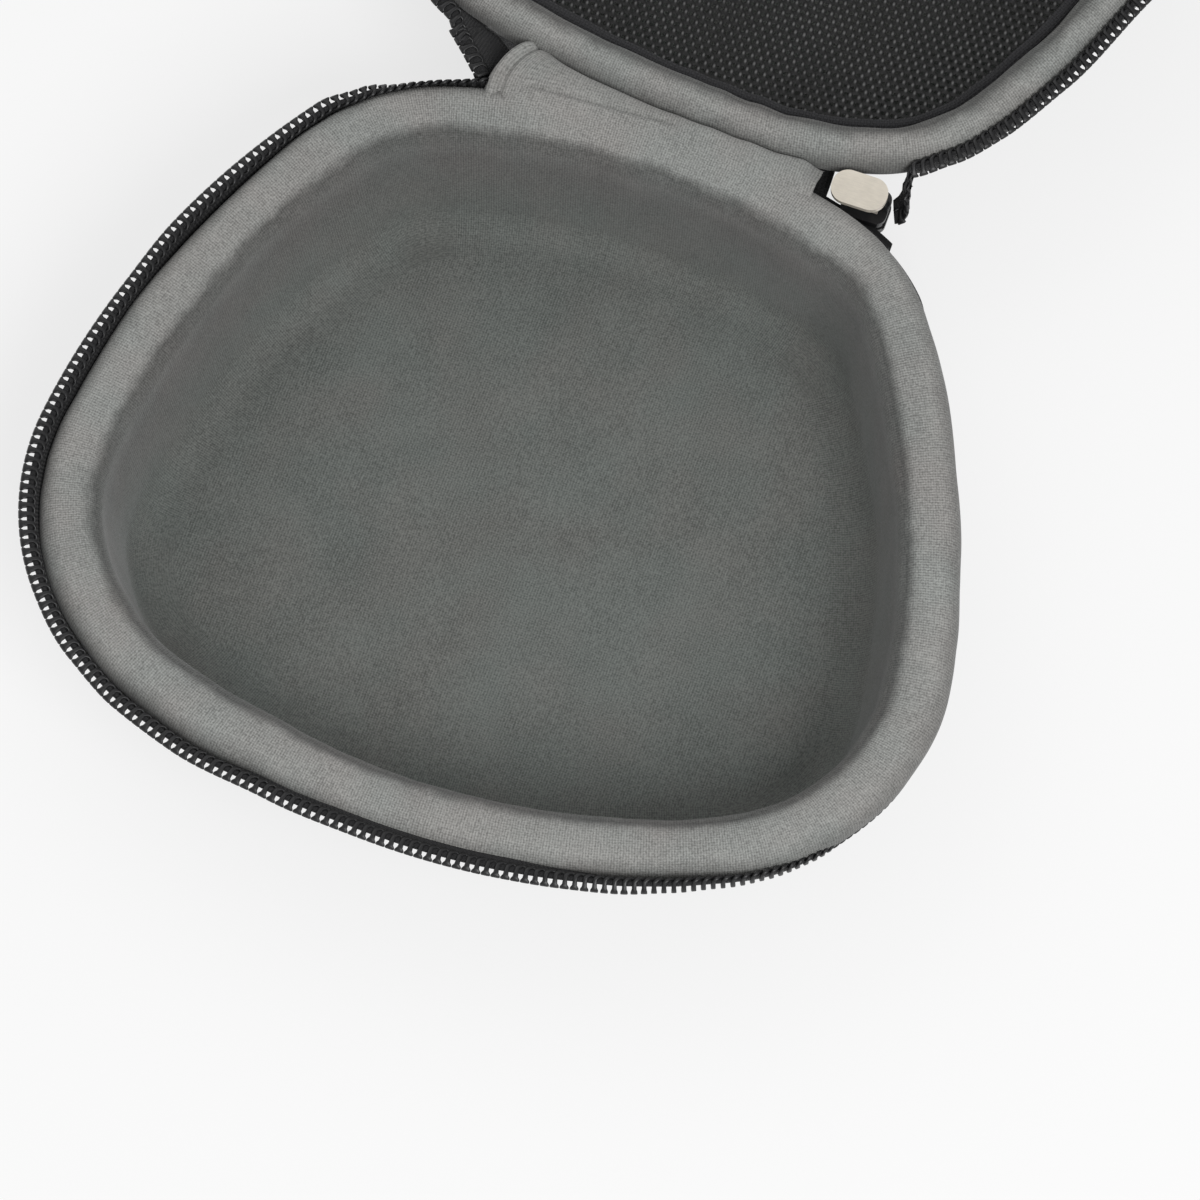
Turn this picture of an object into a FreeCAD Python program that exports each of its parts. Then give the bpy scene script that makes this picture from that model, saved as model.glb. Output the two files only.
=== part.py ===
"""Zippered hard-shell carrying case, opened flat, in millimetres.

The base half stands at the front (-Y), the lid half lies open behind it (+Y). Both halves have the
same outline, so the lid is the base's form turned half round about the hinge line. Z is up, z = 0 is
the surface that both halves lie on, and the origin is under the middle of the base half.
"""
import FreeCAD, Part
import math
import os

import Sketcher

V = FreeCAD.Vector

DIMENSIONS = [
    # outline of the collar's outer flank, as tangent arcs
    ("back_corner_x", 30.5),
    ("back_corner_y", 39.0),
    ("back_corner_radius", 38.5),
    ("front_corner_x", 44.5),
    ("front_corner_y", -20.5),
    ("front_corner_radius", 45.5),
    ("side_radius", 157.0),
    ("back_radius", 143.0),
    ("front_radius", 155.0),
    # section of one half
    ("half_height", 37.0),
    ("base_collar_width", 12.0),
    ("lid_collar_width", 8.0),
    ("collar_drop", 7.5),
    ("collar_outer_round", 4.4),
    ("base_inner_round", 5.4),
    ("lid_inner_round", 3.4),
    ("collar_overhang", 1.2),
    ("lining_thickness", 1.5),
    ("wall_inset", 14.5),
    ("wall_thickness", 5.5),
    ("waist_depth", 6.5),
    ("bottom_round", 13.0),
    ("floor_round", 8.0),
    ("floor_thickness", 3.0),
    # hinge
    ("hinge_gap", 0.8),
    ("hinge_half_width", 33.5),
    ("hinge_strip_height", 15.0),
    ("hinge_strip_thickness", 0.5),
    ("fabric_gap", 0.15),
    # zip
    ("tape_reach", 2.2),
    ("tape_thickness", 0.6),
    ("tape_root_drop", 5.6),
    ("coil_width", 2.6),
    ("coil_thickness", 1.0),
    ("coil_drop", 0.3),
    ("coil_overlap", 0.4),
    ("coil_spine_width", 1.0),
    ("tooth_pitch", 1.9),
    ("tooth_share", 0.52),
    ("zip_end_x", 50.0),
    ("end_tab_gap", 0.3),
    ("end_tab_drop", 5.4),
    ("end_tape_reach", 3.0),
    # slider and pull
    ("slider_x", 42.5),
    ("slider_gap", 0.15),
    ("slider_length", 9.4),
    ("slider_width", 7.6),
    ("slider_round", 2.0),
    ("slider_drop", 7.8),
    ("slider_height", 4.8),
    ("plate_thickness", 1.0),
    ("slider_post_length", 3.0),
    ("slider_post_width", 2.0),
    ("post_setback", 0.5),
    ("rail_width", 0.9),
    ("bridge_offset", 2.4),
    ("bridge_width", 1.5),
    ("bridge_opening", 1.2),
    ("bridge_bar", 1.0),
    ("pull_length", 9.7),
    ("pull_overhang", 1.7),
    ("pull_width", 7.2),
    ("pull_thickness", 1.1),
    ("pull_bar", 1.0),
    ("pull_cheek", 0.9),
    ("pull_play", 0.3),
    # net pocket in the lid
    ("net_drop", 5.0),
    ("net_thickness", 0.7),
    ("net_front_y", -44.0),
    ("net_gap_size", 9.0),
    ("net_bar", 2.4),
    ("net_margin", 3.0),
    ("net_seat", 0.05),
    ("binding_width", 6.0),
    ("binding_thickness", 1.6),
]


class Size:
    """A length that carries its value and the expression that binds it to the sheet."""

    def __init__(self, value, text):
        self.value = value
        self.text = text

    @staticmethod
    def of(other):
        return other if isinstance(other, Size) else Size(float(other), repr(float(other)))

    def join(self, other, sign, value):
        return Size(value, "(%s %s %s)" % (self.text, sign, Size.of(other).text))

    def __add__(self, other):
        return self.join(other, "+", self.value + Size.of(other).value)

    def __sub__(self, other):
        return self.join(other, "-", self.value - Size.of(other).value)

    def __mul__(self, other):
        return self.join(other, "*", self.value * Size.of(other).value)

    def __truediv__(self, other):
        return self.join(other, "/", self.value / Size.of(other).value)

    def __radd__(self, other):
        return Size.of(other) + self

    def __rsub__(self, other):
        return Size.of(other) - self

    def __rmul__(self, other):
        return Size.of(other) * self

    def __neg__(self):
        return Size(-self.value, "(0 - %s)" % self.text)


def root(size):
    return Size(math.sqrt(size.value), "sqrt(%s)" % size.text)


doc = FreeCAD.newDocument("CarryingCase")
sheet = doc.addObject("Spreadsheet::Sheet", "dims")
for row, (name, value) in enumerate(DIMENSIONS, start=1):
    sheet.set("A%d" % row, name)
    sheet.set("B%d" % row, repr(value))
    sheet.setAlias("B%d" % row, name)
doc.recompute()


def size(name):
    return Size(float(getattr(sheet, name)), "dims.%s" % name)


ZERO = Size.of(0.0)
ROUND_SHARE = 0.9
TOLERANCE = 0.01
RIM = size("half_height")
BACK_CENTRE_Y = size("back_corner_y") - root(
    (size("back_radius") - size("back_corner_radius")) * (size("back_radius") - size("back_corner_radius"))
    - size("back_corner_x") * size("back_corner_x"))
BACK_Y = BACK_CENTRE_Y + size("back_radius")
HINGE_Y = BACK_Y + size("hinge_gap")


def bind(target, path, length):
    """Set a property from a size and tie it to the sheet."""
    target.setExpression(path, length.text)


def new_body(label, turned=False):
    """A body for one piece; a piece of the lid is turned half round about the hinge line."""
    body = doc.addObject("PartDesign::Body", label)
    body.Label = label
    if turned:
        body.Placement = FreeCAD.Placement(V(0, 2 * HINGE_Y.value, 0), FreeCAD.Rotation(V(0, 0, 1), 180))
        bind(body, "Placement.Base.y", 2 * HINGE_Y)
    return body


def new_sketch(body, name, plane, offset=ZERO):
    """A sketch on one of the body's own origin planes, moved along that plane's normal."""
    sketch = body.newObject("Sketcher::SketchObject", name)
    origin_plane = [f for f in body.Origin.OriginFeatures if f.Role == plane][0]
    sketch.AttachmentSupport = [(origin_plane, "")]
    sketch.MapMode = "FlatFace"
    sketch.AttachmentOffset = FreeCAD.Placement(V(0, 0, offset.value), FreeCAD.Rotation())
    if offset is not ZERO:
        bind(sketch, "AttachmentOffset.Base.z", offset)
    return sketch


def constrain(sketch, kind, *arguments):
    """Add a constraint; a Size as last argument is bound to the sheet."""
    if isinstance(arguments[-1], Size):
        length = arguments[-1]
        index = sketch.addConstraint(Sketcher.Constraint(kind, *arguments[:-1], length.value))
        bind(sketch, "Constraints[%d]" % index, length)
        return
    sketch.addConstraint(Sketcher.Constraint(kind, *arguments))


def outline_arcs(grow):
    """Centre, radius, start and end angle of the outline's arcs, counterclockwise from the back's middle."""
    corner_back = V(size("back_corner_x").value, size("back_corner_y").value, 0)
    corner_front = V(size("front_corner_x").value, size("front_corner_y").value, 0)
    radius_back_corner = size("back_corner_radius").value
    radius_front_corner = size("front_corner_radius").value
    radius_side = size("side_radius").value
    radius_back = size("back_radius").value
    radius_front = size("front_radius").value
    back = V(0, BACK_CENTRE_Y.value, 0)
    reach_front = math.sqrt((radius_front - radius_front_corner) ** 2 - corner_front.x ** 2)
    front = V(0, corner_front.y + reach_front, 0)
    along = corner_front - corner_back
    span = along.Length
    to_back = radius_side - radius_back_corner
    to_front = radius_side - radius_front_corner
    foot = (to_back ** 2 - to_front ** 2 + span ** 2) / (2 * span)
    unit = along / span
    aside = V(unit.y, -unit.x, 0) * math.sqrt(to_back ** 2 - foot ** 2)
    side = corner_back + unit * foot + aside

    def angle(centre, towards):
        return math.atan2(towards.y - centre.y, towards.x - centre.x)

    turn_back = angle(back, corner_back)
    turn_side = angle(side, corner_back)
    turn_corner = angle(side, corner_front)
    turn_front = angle(front, corner_front)
    right = [
        (front, radius_front, -math.pi / 2, turn_front),
        (corner_front, radius_front_corner, turn_front, turn_corner),
        (side, radius_side, turn_corner, turn_side),
        (corner_back, radius_back_corner, turn_side, turn_back),
        (back, radius_back, turn_back, math.pi / 2),
    ]
    left = [(V(-c.x, c.y, 0), r, math.pi - end, math.pi - start) for c, r, start, end in reversed(right)]
    left[-1] = (front, radius_front, left[-1][2], math.pi * 2 + turn_front)
    return [(c, r + grow, start, end) for c, r, start, end in left + right[1:]]


def draw_outline(sketch, grow):
    """The case's outline, moved outwards by grow, as one closed loop of nine tangent arcs."""
    arcs = outline_arcs(grow.value)
    normal = V(0, 0, 1)
    edges = [Part.ArcOfCircle(Part.Circle(c, normal, r), start, end) for c, r, start, end in arcs]
    sketch.addGeometry(edges, False)
    last = len(arcs) - 1
    for index in range(last):
        constrain(sketch, "Tangent", index, 2, index + 1, 1)
    constrain(sketch, "Coincident", last, 2, 0, 1)
    constrain(sketch, "Coincident", last, 3, 0, 3)
    constrain(sketch, "PointOnObject", 0, 1, -2)
    radii = ["back_radius", "back_corner_radius", "side_radius", "front_corner_radius", "front_radius",
             "front_corner_radius", "side_radius", "back_corner_radius"]
    for index, name in enumerate(radii):
        constrain(sketch, "Radius", index, size(name) + grow)
    for index, name in ((7, "back_corner"), (5, "front_corner")):
        constrain(sketch, "DistanceX", index, 3, size(name + "_x"))
        constrain(sketch, "DistanceY", index, 3, size(name + "_y"))
    constrain(sketch, "Symmetric", 1, 3, 7, 3, -2)
    constrain(sketch, "Symmetric", 3, 3, 5, 3, -2)


def draw_loop(sketch, corners):
    """A closed loop of straight lines; each corner is (x, y) or (x, y, rounding radius)."""
    corners = [(Size.of(c[0]), Size.of(c[1]), Size.of(c[2]) if len(c) > 2 else None) for c in corners]
    count = len(corners)
    points = [V(c[0].value, c[1].value, 0) for c in corners]
    starts = []
    ends = []
    for index, (_, _, radius) in enumerate(corners):
        here = points[index]
        before = (points[index - 1] - here).normalize()
        after = (points[(index + 1) % count] - here).normalize()
        cut = radius.value / math.tan(before.getAngle(after) / 2) if radius else 0.0
        ends.append(here + before * cut)
        starts.append(here + after * cut)
    lines = [Part.LineSegment(starts[i], ends[(i + 1) % count]) for i in range(count)]
    indices = sketch.addGeometry(lines, False)
    for index, (across, up, radius) in enumerate(corners):
        line_in = indices[index - 1]
        line_out = indices[index]
        if not radius:
            constrain(sketch, "Coincident", line_in, 2, line_out, 1)
            constrain(sketch, "DistanceX", line_out, 1, across)
            constrain(sketch, "DistanceY", line_out, 1, up)
            continue
        here = points[index]
        before = (ends[index] - here).normalize()
        after = (starts[index] - here).normalize()
        half = before.getAngle(after) / 2
        middle = (before + after).normalize()
        centre = here + middle * (radius.value / math.sin(half))
        nearest = here + middle * (radius.value / math.sin(half) - radius.value)
        arc = sketch.addGeometry(Part.Arc(ends[index], nearest, starts[index]), False)
        turns_left = before.cross(after).z < 0
        first, second = (1, 2) if turns_left else (2, 1)
        constrain(sketch, "Tangent", line_in, 2, arc, first)
        constrain(sketch, "Tangent", arc, second, line_out, 1)
        constrain(sketch, "Radius", arc, radius)
        corner = sketch.addGeometry(Part.Point(here), True)
        constrain(sketch, "DistanceX", corner, 1, across)
        constrain(sketch, "DistanceY", corner, 1, up)
        constrain(sketch, "PointOnObject", corner, 1, line_in)
        constrain(sketch, "PointOnObject", corner, 1, line_out)


def add_pad(body, name, sketch, length, reverse=False):
    pad = body.newObject("PartDesign::Pad", name)
    pad.Profile = sketch
    pad.Length = length.value
    bind(pad, "Length", length)
    pad.Reversed = reverse
    return pad


def add_pocket(body, name, sketch, length, reverse=False):
    """A pocket that must take material away: a wrong direction stops the build."""
    before = body.Shape.Volume
    pocket = body.newObject("PartDesign::Pocket", name)
    pocket.Profile = sketch
    pocket.Length = length.value
    bind(pocket, "Length", length)
    pocket.Reversed = reverse
    doc.recompute()
    if not body.Shape.Volume < before:
        raise RuntimeError("%s takes nothing away" % name)
    return pocket


def add_ring(body, name, corners, grow=ZERO):
    """Sweep a section round the outline; the section's x is the distance inwards from the outline."""
    path = new_sketch(body, name + "_path", "XY_Plane", RIM)
    draw_outline(path, grow)
    section = new_sketch(body, name + "_section", "YZ_Plane")
    draw_loop(section, [(BACK_Y - c[0], RIM + c[1]) + tuple(c[2:]) for c in corners])
    ring = body.newObject("PartDesign::AdditivePipe", name)
    ring.Profile = section
    ring.Spine = (path, ["Edge%d" % (index + 1) for index in range(9)])
    return ring


def add_disc(body, name, inset, top, thickness):
    """A flat plate inside the outline, from top downwards."""
    disc = new_sketch(body, name + "_outline", "XY_Plane", top)
    draw_outline(disc, -inset)
    return add_pad(body, name, disc, thickness, reverse=True)


SKIN = size("lining_thickness")
FLOOR_TOP = size("floor_thickness") + SKIN - RIM
INNER_FOOT = size("wall_inset")
FLOOR_EDGE = INNER_FOOT + size("floor_round") + SKIN
UNDER_COLLAR = -size("collar_drop")
OUTER_FOOT = INNER_FOOT - size("wall_thickness")


def make_shell(half, turned=False):
    """Moulded half: waist under the collar, drafted wall, large round to a flat foot."""
    body = new_body(half + "_shell", turned)
    ledge = size(half + "_collar_width") - SKIN
    waist = size("collar_overhang") + size("waist_depth") / 2
    add_ring(body, "wall", [
        (size("collar_overhang"), UNDER_COLLAR),
        (waist, UNDER_COLLAR - size("waist_depth"), size("waist_depth")),
        (OUTER_FOOT, -RIM, size("bottom_round")),
        (FLOOR_EDGE, -RIM),
        (FLOOR_EDGE, FLOOR_TOP - SKIN),
        (INNER_FOOT, FLOOR_TOP - SKIN, size("floor_round")),
        (ledge, UNDER_COLLAR - SKIN),
        (ledge, UNDER_COLLAR),
    ])
    add_disc(body, "floor", FLOOR_EDGE, size("floor_thickness"), size("floor_thickness"))


def make_lining(half, turned=False):
    """Tricot tub whose upper edge rolls outwards over the padded collar."""
    body = new_body(half + "_lining", turned)
    outer = size("collar_outer_round")
    inner = size(half + "_inner_round")
    width = size(half + "_collar_width")
    add_ring(body, "skin", [
        (size("collar_overhang"), UNDER_COLLAR),
        (0, UNDER_COLLAR + size("collar_overhang")),
        (0, 0, outer),
        (width, 0, inner),
        (INNER_FOOT + SKIN, FLOOR_TOP, size("floor_round") - SKIN),
        (FLOOR_EDGE, FLOOR_TOP),
        (FLOOR_EDGE, FLOOR_TOP - SKIN),
        (INNER_FOOT, FLOOR_TOP - SKIN, size("floor_round")),
        (width - SKIN, UNDER_COLLAR - SKIN),
        (width - SKIN, UNDER_COLLAR),
    ])
    add_disc(body, "floor", FLOOR_EDGE, RIM + FLOOR_TOP, SKIN)


def cut_hinge_stretch(body):
    """Take away the stretch of a ring that lies between the zip's two ends."""
    sketch = new_sketch(body, "hinge_stretch", "XY_Plane")
    end = size("zip_end_x")
    reach = HINGE_Y + size("coil_width")
    draw_loop(sketch, [(-end, size("back_corner_y")), (end, size("back_corner_y")), (end, reach), (-end, reach)])
    doc.recompute()
    add_pocket(body, "hinge_opening", sketch, RIM, reverse=True)


COIL_UNDER = -(size("coil_drop") + size("coil_thickness"))


def make_zip_tape(label, turned=False):
    """Woven tape: sewn against the collar's flank, it flares out and up to the coil."""
    body = new_body(label, turned)
    root_z = -size("tape_root_drop")
    thick = size("tape_thickness")
    knee = -(size("tape_reach") / 2)
    add_ring(body, "tape", [
        (0, root_z),
        (knee, COIL_UNDER),
        (-size("tape_reach"), COIL_UNDER),
        (-size("tape_reach"), COIL_UNDER - thick),
        (knee, COIL_UNDER - thick),
        (0, root_z - thick),
    ])
    cut_hinge_stretch(body)


def outline_walk(grow):
    """A function that gives the point and outward normal at a distance along the outline, and its length."""
    arcs = outline_arcs(grow)

    def at(distance):
        for centre, radius, start, end in arcs:
            length = radius * (end - start)
            if distance <= length:
                break
            distance -= length
        angle = start + min(distance, length) / radius
        normal = V(math.cos(angle), math.sin(angle), 0)
        return centre + normal * radius, normal

    return at, sum(radius * (end - start) for _, radius, start, end in arcs)


def coil_start(grow):
    """Distance along the outline from the back's middle to the zip's end on the left."""
    (_, back_radius, back_start, back_end), (centre, radius, start, _) = outline_arcs(grow)[:2]
    angle = math.acos((-size("zip_end_x").value - centre.x) / radius)
    return back_radius * (back_end - back_start) + radius * (angle - start)


def new_feature(label, shape, turned=False):
    """A piece whose shape is made by its own function; placed after its shape is set."""
    feature = doc.addObject("Part::Feature", label)
    feature.Label = label
    feature.Shape = shape
    if turned:
        feature.Placement = FreeCAD.Placement(V(0, 2 * HINGE_Y.value, 0), FreeCAD.Rotation(V(0, 0, 1), 180))
    return feature


def make_zip_coil(label, turned=False):
    """Toothed half of the zip: a spine along the tape's edge with one tooth after another."""
    inner = size("tape_reach").value - size("coil_overlap").value
    spine = inner + size("coil_spine_width").value
    tip = inner + size("coil_width").value
    at, length = outline_walk(spine)
    start = coil_start(spine)
    count = int((length - 2 * start) / size("tooth_pitch").value)
    pitch = (length - 2 * start) / count
    half_tooth = pitch * size("tooth_share").value / 2
    outer_side = []
    inner_side = []
    for tooth in range(count):
        middle = start + (tooth + 0.5) * pitch
        for along, reach in ((-half_tooth, 0.0), (-half_tooth, tip - spine), (half_tooth, tip - spine),
                             (half_tooth, 0.0)):
            point, normal = at(middle + along)
            outer_side.append(point + normal * reach)
        point, normal = at(middle)
        inner_side.append(point - normal * (spine - inner))
    lift = V(0, 0, RIM.value + COIL_UNDER.value)
    loop = [point + lift for point in outer_side + inner_side[::-1]]
    face = Part.Face(Part.makePolygon(loop + loop[:1]))
    return new_feature(label, face.extrude(V(0, 0, size("coil_thickness").value)), turned)


def make_hinge_strip(label, turned=False):
    """Strip of cloth that stands against the back of a half, from the hinge line down."""
    body = new_body(label, turned)
    sketch = new_sketch(body, "strip_outline", "XY_Plane", RIM - size("fabric_gap"))
    edge = HINGE_Y - size("fabric_gap")
    width = size("hinge_half_width")
    near = edge - size("hinge_strip_thickness")
    draw_loop(sketch, [(-width, near), (width, near), (width, edge), (-width, edge)])
    add_pad(body, "strip", sketch, size("hinge_strip_height"), reverse=True)


SLIDER_X = size("slider_x")
SLIDER_WEST = SLIDER_X - size("slider_length") / 2
CORNER_ACROSS = SLIDER_WEST - size("back_corner_x")
FLANK_Y = size("back_corner_y") + root(
    size("back_corner_radius") * size("back_corner_radius") - CORNER_ACROSS * CORNER_ACROSS)
SLIDER_Y = FLANK_Y + size("tape_thickness") + size("slider_gap") + size("slider_width") / 2
SLIDER_TOP = RIM - size("slider_drop")
SLIDER_FOOT = SLIDER_TOP - size("slider_height")
SLIDER_MIDDLE = SLIDER_TOP - size("slider_height") / 2
PLATE = size("plate_thickness")
PULL_X = SLIDER_X + size("bridge_offset")
PULL_Z = SLIDER_TOP + size("bridge_opening")


def make_lid_zip_end(label):
    """End of the lid's tape on the left: from the lid's collar flat across to the hinge line."""
    body = new_body(label, True)
    sketch = new_sketch(body, "tab_outline", "XY_Plane", RIM - size("end_tab_drop"))
    inner = size("hinge_half_width") + size("end_tab_gap")
    outer = size("zip_end_x")
    edge = HINGE_Y - size("fabric_gap")
    foot = size("back_corner_y") + size("back_corner_radius") / 2
    corner = size("tape_reach")
    draw_loop(sketch, [(inner, foot), (outer, foot), (outer, edge - corner), (outer - corner, edge), (inner, edge)])
    add_pad(body, "tab", sketch, size("tape_thickness"), reverse=True)
    inside = new_sketch(body, "collar_outline", "XY_Plane")
    draw_outline(inside, ZERO)
    doc.recompute()
    add_pocket(body, "collar_clearance", inside, RIM, reverse=True)


def make_base_zip_end(label):
    """End of the base's tape on the right: down the collar's flank, then out through the slider's slit."""
    body = new_body(label)
    half_thick = size("tape_thickness") / 2
    level = SLIDER_MIDDLE - RIM
    root_z = -size("tape_root_drop")
    add_ring(body, "tape", [
        (0, root_z),
        (-2 * half_thick, root_z),
        (-2 * half_thick, level + half_thick),
        (-size("end_tape_reach"), level + half_thick),
        (-size("end_tape_reach"), level - half_thick),
        (0, level - half_thick),
    ])
    rest = new_sketch(body, "rest_of_ring", "XY_Plane")
    start = size("hinge_half_width") + size("end_tab_gap")
    stop = size("zip_end_x")
    far = size("side_radius")
    draw_loop(rest, [(-far, -far), (far, -far), (far, far), (stop, far), (stop, ZERO), (start, ZERO), (start, far),
                     (-far, far)])
    doc.recompute()
    add_pocket(body, "other_stretch", rest, RIM, reverse=True)


def make_slider(label):
    """Cast slider: two plates with turned-in rails, a wedge post between them and a bridge on top."""
    body = new_body(label)
    length = size("slider_length")
    width = size("slider_width")
    west = SLIDER_WEST
    east = west + length
    south = SLIDER_Y - width / 2
    north = SLIDER_Y + width / 2
    rounding = size("slider_round")
    block = new_sketch(body, "plates", "XY_Plane", SLIDER_FOOT)
    draw_loop(block, [(west, south, rounding), (east, south, rounding), (east, north, rounding),
                      (west, north, rounding)])
    add_pad(body, "block", block, SLIDER_TOP - SLIDER_FOOT)
    doc.recompute()
    channel = new_sketch(body, "channel_section", "YZ_Plane", west)
    rail = size("rail_width")
    draw_loop(channel, [(south + rail, SLIDER_FOOT + PLATE), (north - rail, SLIDER_FOOT + PLATE),
                        (north - rail, SLIDER_TOP - PLATE), (south + rail, SLIDER_TOP - PLATE)])
    add_pocket(body, "channel", channel, length, reverse=True)
    post = new_sketch(body, "post_outline", "XY_Plane", SLIDER_FOOT + PLATE)
    post_width = size("slider_post_width") / 2
    post_end = west + size("slider_post_length")
    post_start = west + size("post_setback")
    draw_loop(post, [(post_start, SLIDER_Y - post_width), (post_end, SLIDER_Y - post_width / 4),
                     (post_end, SLIDER_Y + post_width / 4), (post_start, SLIDER_Y + post_width)])
    add_pad(body, "post", post, SLIDER_TOP - SLIDER_FOOT - 2 * PLATE)
    doc.recompute()
    slit = new_sketch(body, "slit_section", "YZ_Plane", west)
    slit_foot = SLIDER_MIDDLE - size("tape_thickness")
    slit_top = slit_foot + size("tape_thickness") * 2
    for outside, inside in ((south, south + rail), (north - rail, north)):
        draw_loop(slit, [(outside, slit_foot), (inside, slit_foot), (inside, slit_top), (outside, slit_top)])
    add_pocket(body, "rail_slit", slit, length, reverse=True)
    doc.recompute()
    add_bridge(body)


def make_pull(label):
    """Plain oval plate over the bridge; two cheeks under it hold the bar that lies in the bridge."""
    body = new_body(label)
    bar = size("pull_bar") / 2
    play = size("pull_play")
    under = PULL_Z + size("bridge_opening") + size("bridge_bar") + 2 * play
    window = size("bridge_width") / 2 + play
    cheek = window + size("pull_cheek")
    low = PULL_Z - bar
    high = PULL_Z + bar
    lug = new_sketch(body, "lug_section", "XZ_Plane", -SLIDER_Y)
    draw_loop(lug, [(PULL_X - bar, low), (PULL_X + bar, low), (PULL_X + bar, under), (PULL_X - bar, under)])
    add_pad(body, "lug", lug, 2 * cheek).Midplane = True
    doc.recompute()
    gap = new_sketch(body, "bridge_gap", "YZ_Plane", PULL_X - bar)
    draw_loop(gap, [(SLIDER_Y - window, high), (SLIDER_Y + window, high), (SLIDER_Y + window, under),
                    (SLIDER_Y - window, under)])
    add_pocket(body, "bridge_clearance", gap, 2 * bar, reverse=True)
    plate = new_sketch(body, "plate_outline", "XY_Plane", under)
    half = size("pull_width") / 2
    east = PULL_X + size("pull_overhang")
    west = PULL_X - size("pull_length")
    rounding = half * ROUND_SHARE
    draw_loop(plate, [(east, SLIDER_Y - half, rounding), (east, SLIDER_Y + half, rounding),
                      (west, SLIDER_Y + half, rounding), (west, SLIDER_Y - half, rounding)])
    add_pad(body, "plate", plate, size("pull_thickness"))


def add_bridge(body):
    """Arch over the pull's bar, standing on the slider's upper plate."""
    sketch = new_sketch(body, "bridge_section", "XZ_Plane", -SLIDER_Y)
    inner = size("bridge_opening")
    outer = inner + size("bridge_bar")
    foot = SLIDER_TOP - PLATE / 2
    for half, low in ((outer, foot), (inner, SLIDER_TOP)):
        top = PULL_Z + half
        rounding = half * ROUND_SHARE
        draw_loop(sketch, [(PULL_X - half, low), (PULL_X + half, low), (PULL_X + half, top, rounding),
                           (PULL_X - half, top, rounding)])
    add_pad(body, "bridge", sketch, size("bridge_width")).Midplane = True


def inset_plate(inset, low, high):
    """A plate with the outline's shape, smaller by inset all round, between two heights."""
    arcs = outline_arcs(-inset)
    edges = [Part.ArcOfCircle(Part.Circle(c, V(0, 0, 1), r), start, end).toShape() for c, r, start, end in arcs]
    face = Part.Face(Part.Wire(edges))
    plate = face.extrude(V(0, 0, high - low))
    plate.translate(V(0, 0, low))
    return plate


NET_LOW = RIM - size("net_drop") - size("net_thickness")
LID_WALL_SLOPE = (INNER_FOOT + SKIN - size("lid_collar_width")) / -FLOOR_TOP


def lid_wall_inset(height):
    """Distance inwards from the outline at which a sheet seats on the lid's lining at a height."""
    return size("lid_collar_width") + LID_WALL_SLOPE * (RIM - height) + size("net_seat")


def net_band(inset, low, high, front, rear):
    """The part of a plate inside the lid's lining that lies between two lines across the lid."""
    reach = 2 * BACK_Y.value
    cut = Part.makeBox(2 * reach, rear - front, reach, V(-reach, front, 0))
    return inset_plate(inset, low, high).common(cut)


def make_net(label):
    """Net pocket's wall: a lattice of cords across the lid, open towards the lid's front."""
    low = NET_LOW.value
    thick = size("net_thickness").value
    high = low + thick
    front = size("net_front_y").value
    gap = size("net_gap_size").value
    pitch = gap + size("net_bar").value
    margin = size("net_margin").value
    inset = lid_wall_inset(NET_LOW).value
    rear = BACK_Y.value
    panel = net_band(inset, low, high, front, rear)
    field = net_band(inset + margin, low - thick, high + thick, front + margin, rear)
    columns = int(BACK_Y.value / pitch) + 1
    rows = int((rear - front) / pitch) + 1
    holes = []
    for row in range(rows):
        for column in range(-columns, columns + 1):
            across = (column + 0.5 * (row % 2)) * pitch
            up = front + margin + gap / 2 + row * pitch
            corners = [V(across + dx * gap / 2, up + dy * gap / 2, low) for dx in (-1, 1) for dy in (-1, 1)]
            if all(field.isInside(corner, TOLERANCE, True) for corner in corners):
                holes.append(Part.makeBox(gap, gap, 3 * thick, corners[0] - V(0, 0, thick)))
    return new_feature(label, panel.cut(Part.makeCompound(holes)), True)


def make_binding(label):
    """Elastic binding folded over the net's free edge."""
    front = size("net_front_y").value
    foot = NET_LOW - size("binding_thickness")
    inset = lid_wall_inset(foot).value
    strip = net_band(inset, foot.value, NET_LOW.value, front, front + size("binding_width").value)
    return new_feature(label, strip, True)


def build():
    for half, turned in (("base", False), ("lid", True)):
        make_shell(half, turned)
        make_lining(half, turned)
        make_zip_tape(half + "_zip_tape", turned)
        make_zip_coil(half + "_zip_coil", turned)
    make_hinge_strip("hinge_web")
    make_hinge_strip("hinge_gusset", True)
    make_base_zip_end("zip_end_right")
    make_lid_zip_end("zip_end_left")
    make_slider("slider")
    make_pull("pull_tab")
    make_net("lid_net")
    make_binding("net_binding")
    doc.recompute()


def check_and_export():
    """Stop on any failed object; then write each piece to its own file."""
    for item in doc.Objects:
        if "Invalid" in item.State or "Error" in item.State:
            raise RuntimeError("%s is %s" % (item.Name, item.State))
    pieces = [item for item in doc.Objects if item.TypeId in ("PartDesign::Body", "Part::Feature")]
    os.makedirs("parts", exist_ok=True)
    for piece in pieces:
        if piece.Shape.isNull() or not piece.Shape.isValid():
            raise RuntimeError("%s has no valid shape" % piece.Label)
        piece.Shape.exportStep("parts/%s.step" % piece.Label)
        print("%-16s %d solid, %.0f cubic mm" % (piece.Label, len(piece.Shape.Solids), piece.Shape.Volume))


build()
check_and_export()
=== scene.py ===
"""Looks of a zippered hard-shell carrying case that lies open: base half in front, lid half behind.

Lengths are in millimetres in the code and become metres where a mesh is made.
"""
import math

import bpy
import numpy as np
from mathutils import Matrix, Vector


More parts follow.
